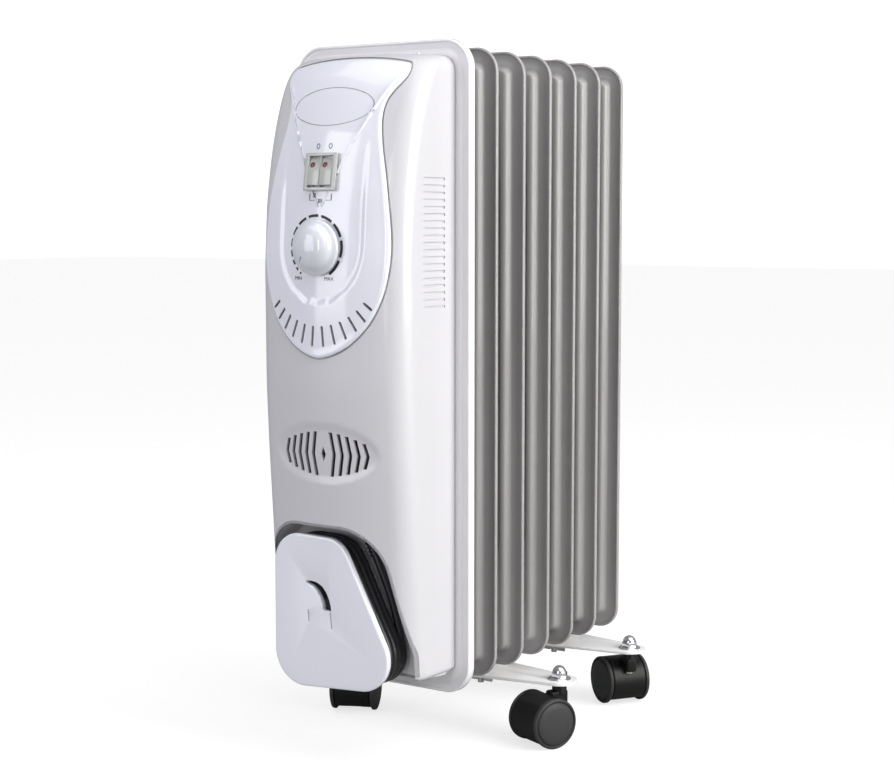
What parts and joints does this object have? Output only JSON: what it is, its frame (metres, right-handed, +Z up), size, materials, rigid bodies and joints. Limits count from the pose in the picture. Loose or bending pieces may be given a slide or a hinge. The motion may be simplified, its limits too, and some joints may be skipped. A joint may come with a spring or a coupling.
{
  "type": "oil filled radiator heater",
  "caption": "Free-standing oil filled radiator with welded steel fins, a moulded control housing, a cord winder and swivel casters.",
  "frame": {"origin": "on the floor under the middle of the heater's bounding box", "axes": "+X to the heater's right as seen from the controls, +Y from the controls towards the last fin, +Z up"},
  "size_m": [0.28, 0.4242, 0.656],
  "materials": {
    "fin_steel": "satin",
    "white_steel": "satin",
    "housing": "satin",
    "panel": "gloss",
    "knob_plastic": "gloss",
    "switch_grey": "gloss",
    "lens_red": "gloss",
    "black_plastic": "satin",
    "wheel_plastic": "satin",
    "cord_rubber": "satin",
    "zinc_steel": "brushed",
    "chrome": "polished",
    "contacts": "plain",
    "heater_tube": "heat darkened",
    "shield": "bright",
    "gasket": "matte",
    "insulator": "matte",
    "wire_sleeve": "woven"
  },
  "bodies": {
    "heater": {"fin_1": "fin_steel", "fin_2": "fin_steel", "fin_3": "fin_steel", "fin_4": "fin_steel", "fin_5": "fin_steel", "fin_6": "fin_steel", "fin_7": "fin_steel", "rear_plugs": "fin_steel", "front_plate": "white_steel", "casing_tabs": "white_steel", "heating_element": "heater_tube", "element_flange": "zinc_steel", "element_gasket": "gasket", "element_terminals": "contacts", "casing": "housing", "control_panel": "panel", "casing_screws": "zinc_steel", "heat_shield": "shield", "thermostat": "insulator", "switch_body": "switch_grey", "thermal_cutout": "insulator", "terminal_block": "insulator", "wiring": "wire_sleeve", "cord_clamp": "black_plastic", "strain_relief": "cord_rubber", "reel_hub": "housing", "cord_plate": "panel", "reel_screws": "zinc_steel", "mains_cord": "cord_rubber", "cord_coil": "cord_rubber", "cord_tail": "cord_rubber", "plug": "cord_rubber", "plug_pins": "contacts", "front_bracket": "white_steel", "rear_bracket": "white_steel", "u_bolts": "zinc_steel", "wing_nuts": "zinc_steel", "caster_stems": "zinc_steel", "caster_nuts": "chrome"},
    "knob_body": {"knob": "knob_plastic", "thermostat_shaft": "zinc_steel"},
    "rocker_left_body": {"rocker_left": "switch_grey", "rocker_lens_left": "lens_red"},
    "rocker_right_body": {"rocker_right": "switch_grey", "rocker_lens_right": "lens_red"},
    "caster_front_right": {"caster_hood_front_right": "black_plastic", "caster_axle_front_right": "zinc_steel"},
    "wheel_outer_body_front_right": {"wheel_outer_front_right": "wheel_plastic"},
    "wheel_inner_body_front_right": {"wheel_inner_front_right": "wheel_plastic"},
    "caster_front_left": {"caster_hood_front_left": "black_plastic", "caster_axle_front_left": "zinc_steel"},
    "wheel_outer_body_front_left": {"wheel_outer_front_left": "wheel_plastic"},
    "wheel_inner_body_front_left": {"wheel_inner_front_left": "wheel_plastic"},
    "caster_rear_right": {"caster_hood_rear_right": "black_plastic", "caster_axle_rear_right": "zinc_steel"},
    "wheel_outer_body_rear_right": {"wheel_outer_rear_right": "wheel_plastic"},
    "wheel_inner_body_rear_right": {"wheel_inner_rear_right": "wheel_plastic"},
    "caster_rear_left": {"caster_hood_rear_left": "black_plastic", "caster_axle_rear_left": "zinc_steel"},
    "wheel_outer_body_rear_left": {"wheel_outer_rear_left": "wheel_plastic"},
    "wheel_inner_body_rear_left": {"wheel_inner_rear_left": "wheel_plastic"}
  },
  "joints": [
    {"name": "knob_turn", "type": "hinge", "parent": "heater", "child": "knob_body", "pos_m": [0, -0.2031, 0.473], "axis": [0, 1, 0], "range_deg": [0, 280]},
    {"name": "rocker_left_tilt", "type": "hinge", "parent": "heater", "child": "rocker_left_body", "pos_m": [-0.0066, -0.18336, 0.53728], "axis": [1, 0, 0], "range_deg": [0, 14]},
    {"name": "rocker_right_tilt", "type": "hinge", "parent": "heater", "child": "rocker_right_body", "pos_m": [0.0066, -0.18336, 0.53728], "axis": [1, 0, 0], "range_deg": [0, 14]},
    {"name": "swivel_front_right", "type": "hinge", "parent": "heater", "child": "caster_front_right", "pos_m": [0.118, 0.0249, 0.045], "axis": [0, 0, 1], "continuous": true},
    {"name": "roll_outer_front_right", "type": "hinge", "parent": "caster_front_right", "child": "wheel_outer_body_front_right", "pos_m": [0.10987, 0.00663, 0.024], "axis": [0.9135, -0.4067, 0], "continuous": true},
    {"name": "roll_inner_front_right", "type": "hinge", "parent": "caster_front_right", "child": "wheel_inner_body_front_right", "pos_m": [0.10987, 0.00663, 0.024], "axis": [0.9135, -0.4067, 0], "continuous": true},
    {"name": "swivel_front_left", "type": "hinge", "parent": "heater", "child": "caster_front_left", "pos_m": [-0.118, 0.0249, 0.045], "axis": [0, 0, 1], "continuous": true},
    {"name": "roll_outer_front_left", "type": "hinge", "parent": "caster_front_left", "child": "wheel_outer_body_front_left", "pos_m": [-0.10987, 0.00663, 0.024], "axis": [0.9135, 0.4067, 0], "continuous": true},
    {"name": "roll_inner_front_left", "type": "hinge", "parent": "caster_front_left", "child": "wheel_inner_body_front_left", "pos_m": [-0.10987, 0.00663, 0.024], "axis": [0.9135, 0.4067, 0], "continuous": true},
    {"name": "swivel_rear_right", "type": "hinge", "parent": "heater", "child": "caster_rear_right", "pos_m": [0.118, 0.1689, 0.045], "axis": [0, 0, 1], "continuous": true},
    {"name": "roll_outer_rear_right", "type": "hinge", "parent": "caster_rear_right", "child": "wheel_outer_body_rear_right", "pos_m": [0.10162, 0.18037, 0.024], "axis": [-0.5736, -0.8192, 0], "continuous": true},
    {"name": "roll_inner_rear_right", "type": "hinge", "parent": "caster_rear_right", "child": "wheel_inner_body_rear_right", "pos_m": [0.10162, 0.18037, 0.024], "axis": [-0.5736, -0.8192, 0], "continuous": true},
    {"name": "swivel_rear_left", "type": "hinge", "parent": "heater", "child": "caster_rear_left", "pos_m": [-0.118, 0.1689, 0.045], "axis": [0, 0, 1], "continuous": true},
    {"name": "roll_outer_rear_left", "type": "hinge", "parent": "caster_rear_left", "child": "wheel_outer_body_rear_left", "pos_m": [-0.10162, 0.18037, 0.024], "axis": [-0.5736, 0.8192, 0], "continuous": true},
    {"name": "roll_inner_rear_left", "type": "hinge", "parent": "caster_rear_left", "child": "wheel_inner_body_rear_left", "pos_m": [-0.10162, 0.18037, 0.024], "axis": [-0.5736, 0.8192, 0], "continuous": true}
  ]
}
